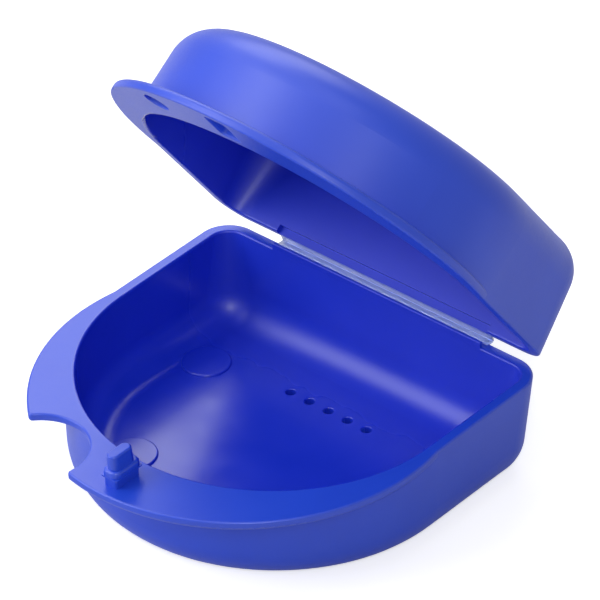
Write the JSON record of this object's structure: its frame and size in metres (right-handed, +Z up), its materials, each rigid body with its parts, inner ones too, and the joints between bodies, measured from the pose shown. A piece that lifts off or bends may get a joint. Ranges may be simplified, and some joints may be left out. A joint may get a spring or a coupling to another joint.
{
  "type": "denture case",
  "caption": "Hinged clamshell denture case: D-shaped base and lid bowls with a curved finger flange, a living hinge at the back and a snap stud in front.",
  "frame": {"origin": "middle of the base's flat underside, on the plane it rests on; the middle is taken between the front and back of the outside wall", "axes": "+X to the user's right when facing the finger flange, +Y back towards the hinge, +Z up. The lid is stored propped open at 52.9 degrees, as pictured"},
  "size_m": [0.084, 0.0977, 0.0908],
  "materials": {
    "case_blue": "satin outside, polished inside",
    "web_blue": "thin and translucent"
  },
  "bodies": {
    "base": {"base_shell": "case_blue", "floor_pads": "case_blue", "latch_stud": "case_blue", "hinge_web_base": "web_blue"},
    "lid": {"lid_shell": "case_blue", "hinge_web_lid": "web_blue"}
  },
  "joints": [
    {"name": "lid_hinge", "type": "hinge", "parent": "base", "child": "lid", "pos_m": [0, 0.038, 0.02175], "axis": [-1, 0, 0], "range_deg": [-52.9, 127.1]}
  ]
}
